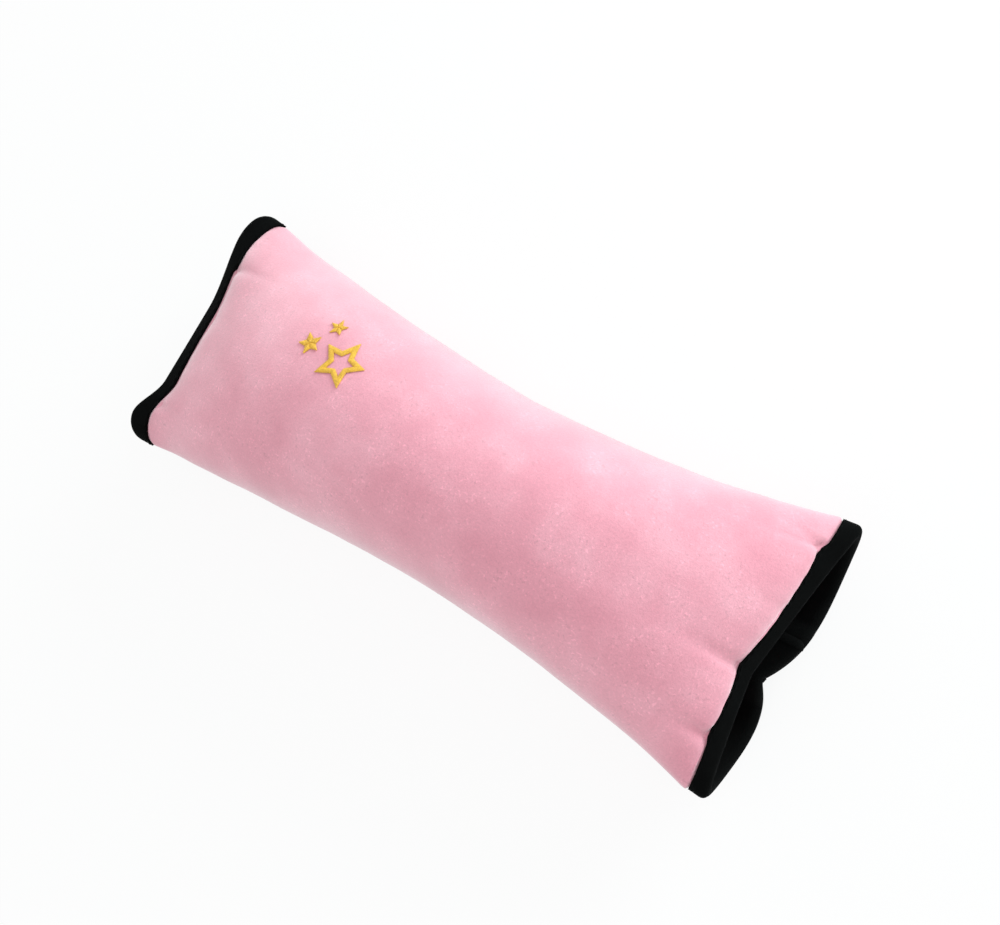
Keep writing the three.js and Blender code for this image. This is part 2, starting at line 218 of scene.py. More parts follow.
# Stitches: those that hold the bindings and those of the closure tapes, and where they run
BINDING_STITCH = {"length": 2.6, "gap": 1, "radius": 0.2}
TAPE_STITCH = {"length": 3, "gap": 1.2, "radius": 0.3}
SEAM_STITCH_SHARE = 0.2  # the share of the way along the binding's leg
TAPE_STITCH_SHARES = {"near": 0.17, "far": 0.83}  # the shares of the way across a flap
THREAD_TAPER = 0.75  # the share of its radius that a stitch loses at its ends
SATIN_PITCH, SATIN_RADIUS, SATIN_ARCH, SATIN_LIFT = 0.42, 0.3, 0.35, 0.35

SIDES = {-1: "left", 1: "right"}
NOISE_RANGE = (0.3, 0.7)  # where most values of a shader's noise lie


def mix(a, b, share):
    return a + (b - a) * share


def smooth(share):
    share = np.clip(share, 0, 1)
    return share * share * (3 - 2 * share)


def unit(vectors):
    return vectors / np.linalg.norm(vectors, axis=-1, keepdims=True)


# The distance along a line of points to each of them
def distances(line):
    return np.concatenate([[0], np.cumsum(np.linalg.norm(np.diff(line, axis=0), axis=1))])


def leg_rise(stretch):
    return BINDING_WIDTH * math.sin(math.radians(LEG_TILT[stretch]))


SEAM = {
    **RIM,
    "half_width": RIM["half_width"] - leg_rise("side"),
    "top": RIM["top"] + leg_rise("top"),
    "lobe": RIM["lobe"] - leg_rise("lobe"),
    "overlap": RIM["overlap"] - leg_rise("overlap"),
    "top_share": SEAM_TOP_SHARE,
}


# Bezier points for each row, without the first one. A corner is a pair of numbers or of columns.
def curve(corners, steps):
    t = np.linspace(0, 1, steps + 1)[1:, None]
    level = [np.stack(np.broadcast_arrays(y, z), -1)[..., None, :] for y, z in corners]
    while len(level) > 1:
        level = [mix(a, b, t) for a, b in zip(level, level[1:])]
    return level[0]


# The stretches of half a section, from the flap's free edge to the middle of the front
def half_section(sign, s, overlap_z):
    end = OVERLAP / 2
    lobe_in, lobe_out = s["lobe_y"] - s["lobe_flat"], s["lobe_y"] + s["lobe_flat"]
    rise = (lobe_in - end) / 2
    reach = s["lobe_share"] * (s["half_width"] - lobe_out)
    stretches = {
        "overlap": [(-end, overlap_z), (end, overlap_z)],
        "rise": [
            (end, overlap_z),
            (end + rise, overlap_z),
            (lobe_in - rise, s["lobe"]),
            (lobe_in, s["lobe"]),
        ],
        "flat": [(lobe_in, s["lobe"]), (lobe_out, s["lobe"])],
        "side": [
            (lobe_out, s["lobe"]),
            (lobe_out + reach, s["lobe"]),
            (s["half_width"], s["side"] - s["side_down"]),
            (s["half_width"], s["side"]),
        ],
        "top": [
            (s["half_width"], s["side"]),
            (s["half_width"], s["side"] + s["side_up"]),
            (s["top_share"] * s["half_width"], s["top"]),
            (0, s["top"]),
        ],
    }
    return [(name, [(sign * y, z) for y, z in corners]) for name, corners in stretches.items()]


# Whole sections, one for each row, from the outer flap's free edge to the inner flap's free edge
def sections(s, outer_z, inner_z, rows):
    outer = half_section(1, s, outer_z)
    inner = [(name, corners[::-1]) for name, corners in half_section(-1, s, inner_z)[::-1]]
    free_edge = curve(outer[0][1][:1], 1)
    parts = [free_edge] + [curve(corners, STEPS[name]) for name, corners in outer + inner]
    flat = np.concatenate([np.broadcast_to(p, (rows,) + p.shape[-2:]) for p in parts], axis=1)
    points = np.zeros(flat.shape[:2] + (3,))
    points[..., 1:] = flat
    points[:, -1, 1] -= FLAP_EDGE_GAP
    return points


def cover_sections(s, rows):
    return sections(s, s["overlap"], s["overlap"] + OVERLAP_STEP, rows)


# The section's sizes at stations from -1 to 1, the two seams of the binding
def sizes_at(station):
    share = np.abs(station)
    waist = WAIST_X / (LENGTH / 2)
    from_waist = np.abs(station - waist) / (1 - waist * np.sign(station - waist))
    sizes = {key: mix(MIDDLE[key], SEAM[key], share**2) for key in MIDDLE}
    power = np.where(station > waist, WAIST_POWER["right"], WAIST_POWER["left"])
    sizes["half_width"] = mix(MIDDLE["half_width"], SEAM["half_width"], from_waist**power)
    puff = np.clip(1 - share**PUFF_POWER, 0, 1) ** PUFF_STEEPNESS
    sizes["top"] = mix(SEAM["top"], MIDDLE["top"], puff)
    lift = smooth((share - LOBE_LIFT_FROM) / (1 - LOBE_LIFT_FROM))
    sizes["lobe"] = mix(MIDDLE["lobe"], SEAM["lobe"], lift)
    return sizes


# Rows along the pad: 0 is the middle, 1 or -1 a seam of the binding, and 2 or -2 a rim
def stations():
    inner = 1 - (np.arange(ROWS_TO_SEAM) / ROWS_TO_SEAM) ** ROW_CROWDING
    legs = np.linspace(2, 1, LEG_ROWS, endpoint=False)
    half = np.concatenate([legs, inner])
    return np.concatenate([-half, [0], half[::-1]])


# The outer face of the cover at the rim of one end
def rim_at(end):
    rim = cover_sections(RIM, 1)[0]
    y, z = rim[:, 1], rim[:, 2].copy()
    pinch_y = -OVERLAP / 2
    share = (y - pinch_y) / (np.where(y > pinch_y, 1, -1) * RIM["half_width"] - pinch_y)
    bulge = np.where(y > pinch_y, OUTER_LOBE_BULGE, INNER_LOBE_BULGE)
    back = BACK_PINCH * (1 - share) ** 2 - bulge * BULGE_SCALE * share * (1 - share) ** 2
    front = FRONT_PINCH * (1 - share)
    if end < 0:
        pairs = zip(LEFT_PINCH["outer"], LEFT_PINCH["inner"])
        level, eased, left = [np.where(y > pinch_y, outer, inner) for outer, inner in pairs]
        front = FRONT_PINCH * mix(1, left, smooth((share - level) / (eased - level)))
        rim[:, 2] += LEFT_RIM_LIFT * smooth((z - RIM["side"]) / (RIM["top"] - RIM["side"]))
    in_corner = np.clip((share - CORNER_FROM[end]) / (1 - CORNER_FROM[end]), 0, 1)
    corner = CORNER_ROUND[end] * (1 - np.sqrt(1 - in_corner**2))
    rim[:, 0] = end * (LENGTH / 2 - corner - np.where(z >= RIM["side"], front, back))
    return rim


def bowed(points):
    share = 2 * points[..., 0] / LENGTH
    points[..., 1] -= SIDEWAYS_BOW * (1 - share**2)
    return points


# The outer face of the cover as the part has it, as rows of points
def cover_grid(rows):
    seam = cover_sections(SEAM, 1)[0]
    inner = np.clip(rows, -1, 1)
    points = cover_sections(sizes_at(inner), len(rows))
    for end in SIDES:
        here = np.sign(rows) == end
        rim = rim_at(end)
        sideways = np.linalg.norm((rim - seam)[:, 1:], axis=1)
        seam_x = rim[:, 0] - end * np.sqrt(BINDING_WIDTH**2 - sideways**2)
        past = np.abs(rows - inner)[here, None]
        points[here] = mix(points[here], rim, past[..., None])
        points[here, :, 0] = mix(np.abs(inner[here, None]) * seam_x, rim[:, 0], past)
    return bowed(points)


# How far each row lies inside the seam, along the pad, or past it, along the binding
def inside_seam(rows):
    share = np.abs(rows)
    return (1 - np.minimum(share, 1)) * LENGTH / 2 - np.maximum(share - 1, 0) * BINDING_WIDTH


def normals_of(grid):
    along = np.gradient(grid, axis=0)
    around = np.gradient(grid, axis=1)
    return unit(np.cross(around, along))


# How full the padding is, from 0 to 1, at each point of the grid
def fill_grid(rows):
    half = [0.0]
    for name, steps in STEPS.items():
        t = np.arange(1, steps + 1) / steps
        half.extend(smooth(t) if name == "rise" else np.full(steps, float(name != "overlap")))
    around = np.array(half + half[-2::-1])
    share = np.minimum(np.abs(rows), 1)
    along = smooth((1 - share) * LENGTH / 2 / PADDING_RAMP)
    return along[:, None] * around


# The face of the lining inside the passage
def lining_grid(rows, fill, cover, normals):
    sandwich = cover - normals * SANDWICH_T
    flap_z = sizes_at(np.clip(rows, -1, 1))["overlap"] + SANDWICH_T
    target = sections(PASSAGE, flap_z, flap_z + OVERLAP_STEP, len(rows))
    target[..., 0] = cover[..., 0]
    return mix(sandwich, bowed(target), fill[..., None])


# Distance along the seam's own section from the outer flap's free edge, and the place of a point of
# the front or the back in it
SEAM_POINTS = cover_sections(SEAM, 1)[0]
ARC = distances(SEAM_POINTS)


def arc_at(face, y):
    on_front = SEAM_POINTS[:, 2] > SEAM["side"]
    first_half = np.arange(len(ARC)) < len(ARC) // 2
    columns = np.flatnonzero(on_front if face == "front" else ~on_front & (first_half == (y > 0)))
    order = columns[np.argsort(SEAM_POINTS[columns, 1])]
    return np.interp(y, SEAM_POINTS[order, 1], ARC[order])


# What rises from 0 at each gather of one end to its full value between two of them
def between_gathers(end, value):
    total = np.zeros(len(ARC))
    for gather, after in zip(GATHERS[end], GATHERS[end][1:]):
        start, stop = arc_at(gather["face"], gather["y"]), arc_at(after["face"], after["y"])
        t = np.clip((ARC - start) / (stop - start), 0, 1)
        total += gather[value] * (4 * t * (1 - t)) ** GATHER_SHARPNESS
    return total


# How far the tape's edge lies inside the seam of one end
def tape_reach(end):
    places = [arc_at(gather["face"], gather["y"]) for gather in GATHERS[end]]
    places = np.add.outer(places, [-GATHER_STEP / 2, GATHER_STEP / 2]).ravel()
    reach = np.interp(ARC, places, np.ravel([gather["reach"] for gather in GATHERS[end]]))
    return reach - between_gathers(end, "draw")


def faded(distance, length):
    return np.exp(-((distance / length) ** FADE_POWER))


# Puffs, ripples and creases of one end, at a distance from the tape's edge
def gathered(end, distance):
    height = between_gathers(end, "puff") * faded(distance, PUFF_LENGTH)
    waver = RIPPLE_WAVER * np.sin(ARC / RIPPLE_WAVER_LENGTH) + end
    ripple = np.sin(2 * math.pi * ARC / RIPPLE_PITCH + waver)
    height += RIPPLE_DEPTH * ripple * np.exp(-distance / RIPPLE_LENGTH)
    for crease in CREASES[end]:
        aside = ARC - arc_at("front", crease["y"]) + crease["slant"] * distance
        across = np.exp(-((aside / crease["width"]) ** 2))
        height -= crease["depth"] * across * faded(distance, crease["length"])
    return height


# How far the cloth stands out of the part's own face, with the soft lumps of the filling
def relief(rows, cover, fill):
    height = np.zeros(cover.shape[:2])
    inside = inside_seam(rows)[:, None]
    for end in SIDES:
        here = np.sign(rows)[:, None] == end
        distance = np.maximum(inside - tape_reach(end), 0)
        height += here * smooth(distance / PUFF_EDGE) * gathered(end, distance)
    for depth, size in LUMPS:
        lumps = [noise.noise(Vector(p) / size) for p in cover.reshape(-1, 3)]
        height += depth * np.reshape(lumps, height.shape) * smooth(inside / LUMPS_FROM_SEAM)
    beside_flaps = smooth(2 * fill.max(axis=0))
    return height * beside_flaps


# A mesh between two grids, where the first lies on the side that the normals point to
def shell(name, first, second, material):
    rows, columns = first.shape[:2]
    index = np.arange(rows * columns).reshape(rows, columns)
    under = rows * columns
    a, b, c, d = index[:-1, :-1], index[:-1, 1:], index[1:, :-1], index[1:, 1:]

    def wall(p, q):
        return np.stack([p, q, q + under, p + under], -1)

    faces = [
        np.stack([a, b, d, c], -1).reshape(-1, 4),
        np.stack([a, c, d, b], -1).reshape(-1, 4) + under,
        wall(index[:-1, 0], index[1:, 0]),
        wall(index[1:, -1], index[:-1, -1]),
        wall(index[0, 1:], index[0, :-1]),
        wall(index[-1, :-1], index[-1, 1:]),
    ]
    points = np.concatenate([first.reshape(-1, 3), second.reshape(-1, 3)])
    around = np.cumsum(np.linalg.norm(np.diff(first, axis=1, prepend=first[:, :1]), axis=2), axis=1)
    along = np.cumsum(np.linalg.norm(np.diff(first, axis=0, prepend=first[:1]), axis=2), axis=0)
    uv = np.tile(np.stack([around, along], -1).reshape(-1, 2), (2, 1))
    return mesh_object(name, points, np.concatenate(faces).tolist(), material, uv)


def mesh_object(name, points, faces, material, uv=None):
    mesh = bpy.data.meshes.new(name)
    mesh.from_pydata((points * MM).tolist(), [], faces)
    mesh.polygons.foreach_set("use_smooth", np.ones(len(faces), bool))
    mesh.set_sharp_from_angle(angle=math.radians(SHARP_ANGLE))
    if uv is not None:
        corners = np.zeros(len(mesh.loops), np.int32)
        mesh.loops.foreach_get("vertex_index", corners)
        layer = mesh.uv_layers.new(name="millimetres")
        layer.data.foreach_set("uv", uv[corners].astype(np.float32).ravel())
    mesh.materials.append(material)
    piece = bpy.data.objects.new(name, mesh)
    bpy.context.scene.collection.objects.link(piece)
    return piece


# The rows under a leg of the tape, from its edge, which wavers on the cover, to the rim
def leg_of(grid, rows, end, wavers):
    order = np.flatnonzero(np.sign(rows) == end)
    order = order[np.argsort(inside_seam(rows[order]))]
    place = inside_seam(rows[order])
    edge = tape_reach(end) if wavers else np.zeros(len(ARC))
    share = np.linspace(0, 1, LEG_ROWS + 1)
    leg = np.zeros((len(share),) + grid.shape[1:])
    for column, start in enumerate(edge):
        wanted = mix(start, -BINDING_WIDTH, share)
        for axis in range(3):
            leg[:, column, axis] = np.interp(wanted, place, grid[order, column, axis])
    return leg


# The folded tape round one end: a leg on the cover, a round fold and a leg on the lining
def binding(name, end, rows, cover, normals, lining, material):
    outer, outer_normal = [leg_of(grid, rows, end, True) for grid in (cover, normals)]
    inner, inner_normal = [leg_of(grid, rows, end, False) for grid in (lining, normals)]
    middle = mix(outer[-1], inner[-1], 0.5)
    outward = unit(outer[-1] - outer[-2])

    def skin(distance):
        radius = SANDWICH_T / 2 + distance
        angles = np.linspace(0, math.pi, FOLD_STEPS + 1)[1:-1, None, None]
        fold = middle + radius * (np.cos(angles) * outer_normal[-1] + np.sin(angles) * outward)
        back = inner - inner_normal * distance
        return np.concatenate([outer + outer_normal * distance, fold, back[::-1]])

    near, far = skin(CLEARANCE), skin(CLEARANCE + BINDING_T)
    first, second = (far, near) if end > 0 else (near, far)
    return shell(name, first, second, material)


# A tube for each stitch from its start to its end, arched along up
def threads(name, starts, ends, up, radius, arch, material):
    t = np.linspace(0, 1, THREAD_RINGS)[None, :, None]
    centre = mix(starts[:, None], ends[:, None], t) + up[:, None] * arch * np.sin(math.pi * t)
    side = unit(np.cross(up, ends - starts))
    angle = np.linspace(0, 2 * math.pi, THREAD_SIDES, endpoint=False)
    ring = np.cos(angle)[:, None] * side[:, None] + np.sin(angle)[:, None] * up[:, None]
    thickness = radius * (1 - THREAD_TAPER * (2 * t - 1) ** 4)
    points = centre[:, :, None] + thickness[..., None] * ring[:, None]
    count = len(starts)
    index = np.arange(points[..., 0].size).reshape(count, THREAD_RINGS, THREAD_SIDES)
    turned = np.roll(index, -1, axis=2)
    sides = np.stack([index[:, :-1], turned[:, :-1], turned[:, 1:], index[:, 1:]], -1)
    faces = sides.reshape(-1, 4).tolist()
    faces += index[:, 0, ::-1].tolist() + index[:, -1].tolist()
    lengths = np.linalg.norm(ends - starts, axis=1)
    across = np.broadcast_to(t * lengths[:, None, None], index.shape)
    number = np.broadcast_to(np.arange(count)[:, None, None], index.shape)
    uv = np.stack([across, number], -1).reshape(-1, 2)
    return mesh_object(name, points.reshape(-1, 3), faces, material, uv)


# Stitches in a row along a line of points
def stitch_row(name, line, up, stitch, material):
    length, radius = stitch["length"], stitch["radius"]
    along = distances(line)
    count = int(along[-1] / (length + stitch["gap"]))
    start = (np.arange(count) + 0.5) * along[-1] / count - length / 2

    def at(values, place):
        return np.stack([np.interp(place, along, values[:, k]) for k in range(3)], -1)

    facing = unit(at(up, start + length / 2))
    return threads(name, at(line, start), at(line, start + length), facing, radius, radius, material)


# The rounded strip that closes a flap's free edge, at a gap from the cover's and the lining's faces.
# With a cap, its last end is rounded off too.
def edge_strip(name, cover, lining, normals, side, gap, capped, material):
    outward = np.array([0, -side, 0])
    angles = np.linspace(0, math.pi, FOLD_STEPS + 1)[:, None, None]
    middle = mix(cover[0], lining[0], 0.5)
    onward = unit(middle[-1] - middle[-2])
    cap = np.linspace(0, math.pi / 2, CAP_STEPS + 1)[1:, None] if capped else np.zeros((0, 1))

    def skin(distance):
        radius = SANDWICH_T / 2 + gap + distance
        leg = cover[1] + normals[1] * (gap + distance)
        back = lining[1] - normals[1] * (gap + distance)
        turn = np.cos(angles) * normals[0] + np.sin(angles) * outward
        strip = np.concatenate([leg[None], middle + radius * turn, back[None]])
        last = strip[:, -1:] - middle[-1]
        rounded = middle[-1] + last * np.cos(cap) + onward * radius * np.sin(cap)
        return np.concatenate([strip, rounded], axis=1)

    first, second = (skin(EDGE_T), skin(0)) if side * onward[0] > 0 else (skin(0), skin(EDGE_T))
    return shell(name, first, second, material)


# The cover's faces, for the embroidery to be laid on
def surface_tree(cover):
    index = np.arange(cover[..., 0].size).reshape(cover.shape[:2])
    quads = np.stack([index[:-1, :-1], index[:-1, 1:], index[1:, 1:], index[1:, :-1]], -1)
    return BVHTree.FromPolygons(cover.reshape(-1, 3).tolist(), quads.reshape(-1, 4).tolist())


# The points of the cover above flat places, and its normals there
def draped(tree, flat):
    hits = [tree.ray_cast(Vector((x, y, 2 * HEIGHT)), Vector((0, 0, -1))) for x, y in flat]
    return np.array([hit[0] for hit in hits]), np.array([hit[1] for hit in hits])


def star_corners(radius):
    k = np.arange(2 * STAR_POINTS)
    r = np.where(k % 2, radius * STAR_WAIST, radius)
    angle = k * math.pi / STAR_POINTS
    return np.stack([r * np.cos(angle), r * np.sin(angle)], -1)


# The radius of the star that lies a border's width inside another
def inset_radius(radius, border):
    tip, notch = star_corners(1)[:2]
    edge_distance = abs(tip[0] * notch[1] - tip[1] * notch[0]) / np.linalg.norm(tip - notch)
    return radius - border / edge_distance


# Pairs of rails, each a line of corners: the edges of an outlined star, or the arms of a full one
def star_strokes(star):
    radius = STAR_RADIUS * star["size"]
    corners = star_corners(radius)
    count = len(corners)
    if star["outline"]:
        inner = star_corners(inset_radius(radius, star["outline"]))
        pairs = [(k, (k + 1) % count) for k in range(count)]
        return [(corners[[a, b]], inner[[a, b]]) for a, b in pairs]
    centre = np.zeros(2)
    arms = [(k - 1, k, (k + 1) % count) for k in range(0, count, 2)]
    return [
        [np.array([centre, corners[notch], corners[tip]]) for notch in (before, after)]
        for before, tip, after in arms
    ]


# The points at shares of the way along a rail
def along_rail(rail, share):
    lengths = distances(rail)
    place = share * lengths[-1]
    return np.stack([np.interp(place, lengths, rail[:, k]) for k in (0, 1)], -1)


# Satin stitches over a star, each from one rail of a stroke to the other
def star_stitches(tree, star, material):
    starts, ends = [], []
    for left, right in star_strokes(star):
        length = distances(left)[-1]
        share = (np.arange(int(length / SATIN_PITCH)) + 0.5) * SATIN_PITCH / length
        starts.append(along_rail(left, share))
        ends.append(along_rail(right, share))
    turn = math.radians(star["turn"])
    spin = np.array([[math.cos(turn), math.sin(turn)], [-math.sin(turn), math.cos(turn)]])
    offset = STAR_RADIUS * np.array([star["right"], star["up"]])
    centre = np.array([EMBROIDERY_X, EMBROIDERY_Y]) + offset
    a, up = draped(tree, np.concatenate(starts) @ spin + centre)
    b, _ = draped(tree, np.concatenate(ends) @ spin + centre)
    lift = up * SATIN_LIFT
    name = f"stitched_{star['name']}"
    return threads(name, a + lift, b + lift, up, SATIN_RADIUS, SATIN_ARCH, material)


class Shader:
    """A material with one Principled shader, and short calls for the nodes that lead to it."""

    def __init__(self, name, roughness, **plain):
        self.material = bpy.data.materials.new(name)
        self.material.use_nodes = True
        self.tree = self.material.node_tree
        self.principled = self.tree.nodes["Principled BSDF"]
        self.principled.inputs["Roughness"].default_value = roughness
        for socket, value in plain.items():
            self.principled.inputs[socket.replace("_", " ")].default_value = value

    def feed(self, socket, value):
        if isinstance(value, bpy.types.NodeSocket):
            self.tree.links.new(value, socket)
        else:
            socket.default_value = value

    def node(self, kind, settings=None, **inputs):
        made = self.tree.nodes.new(kind)
        for key, value in (settings or {}).items():
            setattr(made, key, value)
        for key, value in inputs.items():
            self.feed(made.inputs[key.replace("_", " ")], value)
        return made

    def place(self, space="Object"):
        return self.node("ShaderNodeTexCoord").outputs[space]

    def noise(self, size, detail):
        scale = 1 / (size * MM)
        made = self.node("ShaderNodeTexNoise", Vector=self.place(), Scale=scale, Detail=detail)
        return made.outputs["Fac"]

    def ramp(self, factor, stops):
        made = self.node("ShaderNodeValToRGB", Fac=factor)
        elements = made.color_ramp.elements
        while len(elements) < len(stops):
            elements.new(0.5)
        for element, (position, colour) in zip(elements, stops):
            element.position = position
            element.color = (*colour, 1)
        return made.outputs["Color"]

    def scaled(self, value, low, high, to_low, to_high):
        made = self.node(
            "ShaderNodeMapRange",
            Value=value,
            From_Min=low,
            From_Max=high,
            To_Min=to_low,
            To_Max=to_high,
        )
        return made.outputs["Result"]

    def varied(self, value, to_low, to_high):
        return self.scaled(value, *NOISE_RANGE, to_low, to_high)

    def math(self, operation, a, b):
        made = self.node("ShaderNodeMath", {"operation": operation})
        self.feed(made.inputs[0], a)
        self.feed(made.inputs[1], b)
        return made.outputs["Value"]

    def tinted(self, colour, factor):
        made = self.node("ShaderNodeVectorMath", {"operation": "SCALE"})
        self.tree.links.new(colour, made.inputs[0])
        self.tree.links.new(factor, made.inputs["Scale"])
        return made.outputs["Vector"]

    def colour(self, socket):
        self.tree.links.new(socket, self.principled.inputs["Base Color"])

    def bump(self, height, depth, strength):
        made = self.node("ShaderNodeBump", Height=height, Distance=depth * MM, Strength=strength)
        self.tree.links.new(made.outputs["Normal"], self.principled.inputs["Normal"])


# A colour's linear values, from its levels out of 255
def linear(*levels):
    return tuple(v / 255 / 12.92 if v < 10 else ((v / 255 + 0.055) / 1.055) ** 2.4 for v in levels)


def shaded(colour, share):
    return tuple(share * level for level in colour)


# Short pile, with painted glints on its tips and painted shade in its gaps, clustered where it is
# crushed
def plush():
    s = Shader(
        "pink_plush",
        roughness=0.95,
        Sheen_Weight=1,
        Sheen_Roughness=0.55,
        Sheen_Tint=(1, 0.92, 0.94, 1),
        Specular_IOR_Level=0.2,
    )
    pinks = [(0.3, linear(224, 147, 164)), (0.5, linear(232, 158, 174)), (0.7, linear(239, 171, 186))]
    mottle = s.ramp(s.noise(size=26, detail=5), pinks)
    nap = s.noise(size=0.8, detail=3)
    # Painted glints (lighter specks) and painted shade (darker specks) in the pile's base colour
    tip_glints = s.scaled(s.noise(size=1.1, detail=1), 0.6, 0.7, 0, 0.2)
    gap_shade = s.scaled(s.noise(size=1.4, detail=1), 0.3, 0.38, 0.13, 0)
    crushed = s.scaled(s.noise(size=13, detail=2), 0.44, 0.6, 0.35, 1)
    glints_and_gap_shade = s.math("MULTIPLY", s.math("SUBTRACT", tip_glints, gap_shade), crushed)
    s.colour(s.tinted(mottle, s.math("ADD", s.varied(nap, 0.94, 1.06), glints_and_gap_shade)))
    s.bump(s.math("ADD", nap, s.noise(size=0.35, detail=2)), depth=0.3, strength=0.4)
    return s.material


# Plain weave, along and across the cloth
def woven(name, colour, pitch, sheen, gloss):
    s = Shader(name, roughness=0.8, Sheen_Weight=sheen, Sheen_Roughness=0.5, Specular_IOR_Level=gloss)
    wave = {"Vector": s.place("UV"), "Scale": 1 / pitch, "Distortion": 0.4}
    along, across = [
        s.node("ShaderNodeTexWave", {"bands_direction": direction}, **wave).outputs["Fac"]
        for direction in ("X", "Y")
    ]
    weave = s.math("MAXIMUM", along, across)
    base = s.ramp(weave, [(0, shaded(colour, 0.7)), (1, colour)])
    s.colour(s.tinted(base, s.varied(s.noise(size=9, detail=3), 0.8, 1.2)))
    s.bump(weave, depth=0.25, strength=0.6)
    return s.material


# Twisted yarn
def thread(name, colour, roughness, sheen, gloss):
    s = Shader(name, roughness, Sheen_Weight=sheen, Specular_IOR_Level=gloss)
    twist = s.noise(size=0.7, detail=2)
    base = s.ramp(s.noise(size=3, detail=2), [(0.3, shaded(colour, 0.8)), (0.7, colour)])
    s.colour(s.tinted(base, s.varied(twist, 0.85, 1.15)))
    s.bump(twist, depth=0.2, strength=0.5)
    return s.material


# Loose hairs or loops
def fuzzy(name, colour, size, depth):
    s = Shader(name, roughness=0.9, Sheen_Weight=0.3)
    hairs = s.noise(size, detail=4)
    base = s.ramp(hairs, [(0.3, shaded(colour, 0.75)), (0.7, colour)])
    s.colour(s.tinted(base, s.varied(s.noise(size=12, detail=2), 0.9, 1.1)))
    s.bump(hairs, depth, strength=0.7)
    return s.material


# Small bright hooks in a darker ground
def hooked(name, colour, pitch):
    s = Shader(name, roughness=0.6)
    cells = s.node("ShaderNodeTexVoronoi", Vector=s.place(), Scale=1 / (pitch * MM)).outputs["Distance"]
    s.colour(s.ramp(cells, [(0.1, shaded(colour, 2.2)), (0.6, colour)]))
    s.bump(s.scaled(cells, 0, 0.7, 1, 0), depth=0.5, strength=0.8)
    return s.material


# Paper that is nearly white to the camera, and that light and shadow fall on
def paper_material():
    material = bpy.data.materials.new("floor_paper")
    material.use_nodes = True
    nodes, links = material.node_tree.nodes, material.node_tree.links
    nodes.clear()
    paper = nodes.new("ShaderNodeBsdfDiffuse")
    paper.inputs["Color"].default_value = PAPER_COLOUR
    white = nodes.new("ShaderNodeEmission")
    white.inputs["Color"].default_value = (1, 1, 1, 1)
    path = nodes.new("ShaderNodeLightPath")
    seen = nodes.new("ShaderNodeMath")
    seen.operation = "MULTIPLY"
    seen.inputs[1].default_value = 1 - PAPER_SHADE
    links.new(path.outputs["Is Camera Ray"], seen.inputs[0])
    blend = nodes.new("ShaderNodeMixShader")
    links.new(seen.outputs["Value"], blend.inputs["Fac"])
    links.new(paper.outputs["BSDF"], blend.inputs[1])
    links.new(white.outputs["Emission"], blend.inputs[2])
    output = nodes.new("ShaderNodeOutputMaterial")
    links.new(blend.outputs["Shader"], output.inputs["Surface"])
    return material


def floor():
    mesh = bpy.data.meshes.new("floor")
    signs = [(-1, -1), (1, -1), (1, 1), (-1, 1)]
    corners = np.array([(x * FLOOR_REACH, y * FLOOR_REACH, FLOOR_Z) for x, y in signs])
    mesh.from_pydata((corners * MM).tolist(), [], [(0, 1, 2, 3)])
    mesh.materials.append(paper_material())
    piece = bpy.data.objects.new("floor", mesh)
    bpy.context.scene.collection.objects.link(piece)


# An even light from all round, and white behind the pad
def world():
    made = bpy.data.worlds.new("studio")
    made.use_nodes = True
    nodes, links = made.node_tree.nodes, made.node_tree.links
    background = nodes["Background"]
    background.inputs["Color"].default_value = (1, 1, 1, 1)
    path = nodes.new("ShaderNodeLightPath")
    strength = nodes.new("ShaderNodeMapRange")
    strength.inputs["To Min"].default_value = WORLD_STRENGTH
    strength.inputs["To Max"].default_value = 1
    links.new(path.outputs["Is Camera Ray"], strength.inputs["Value"])
    links.new(strength.outputs["Result"], background.inputs["Strength"])
    bpy.context.scene.world = made


def lamp(name, place, size, power):
    data = bpy.data.lights.new(name, "AREA")
    data.color = LAMP_COLOUR
    data.size = size * MM
    data.energy = power
    piece = bpy.data.objects.new(name, data)
    piece.location = Vector(place) * MM
    piece.rotation_mode = "QUATERNION"
    piece.rotation_quaternion = (Vector(place) - CAMERA_TARGET).to_track_quat("Z", "Y")
    bpy.context.scene.collection.objects.link(piece)


def camera():
    data = bpy.data.cameras.new("camera")
    data.sensor_width = SENSOR_WIDTH
    data.lens = CAMERA_FOCUS * SENSOR_WIDTH / FRAME_WIDTH
    data.shift_x = (FRAME_WIDTH / 2 - TARGET_PIXEL[0]) / FRAME_WIDTH
    data.shift_y = (TARGET_PIXEL[1] - FRAME_HEIGHT / 2) / FRAME_WIDTH
    data.clip_start = CLIP_START * MM
    yaw, pitch, roll = map(math.radians, (CAMERA_YAW, CAMERA_PITCH, CAMERA_ROLL))
    back = Vector((math.sin(yaw) * math.cos(pitch), math.sin(pitch), math.cos(yaw) * math.cos(pitch)))
    level = Vector((1, 0, 0))
    level = (level - back * level.dot(back)).normalized()
    upright = back.cross(level)
    right = level * math.cos(roll) + upright * math.sin(roll)
    up = upright * math.cos(roll) - level * math.sin(roll)
    piece = bpy.data.objects.new("camera", data)
    turn = Matrix((right, up, back)).transposed().to_4x4()
    piece.matrix_world = Matrix.Translation((CAMERA_TARGET + back * CAMERA_DISTANCE) * MM) @ turn
    bpy.context.scene.collection.objects.link(piece)
    bpy.context.scene.camera = piece


# Gives a piece to the one body, and takes away the solids that it stands for
def add(piece, slot, *nodes):
    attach(piece, "root")
    if nodes:
        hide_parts(*nodes)


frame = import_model()

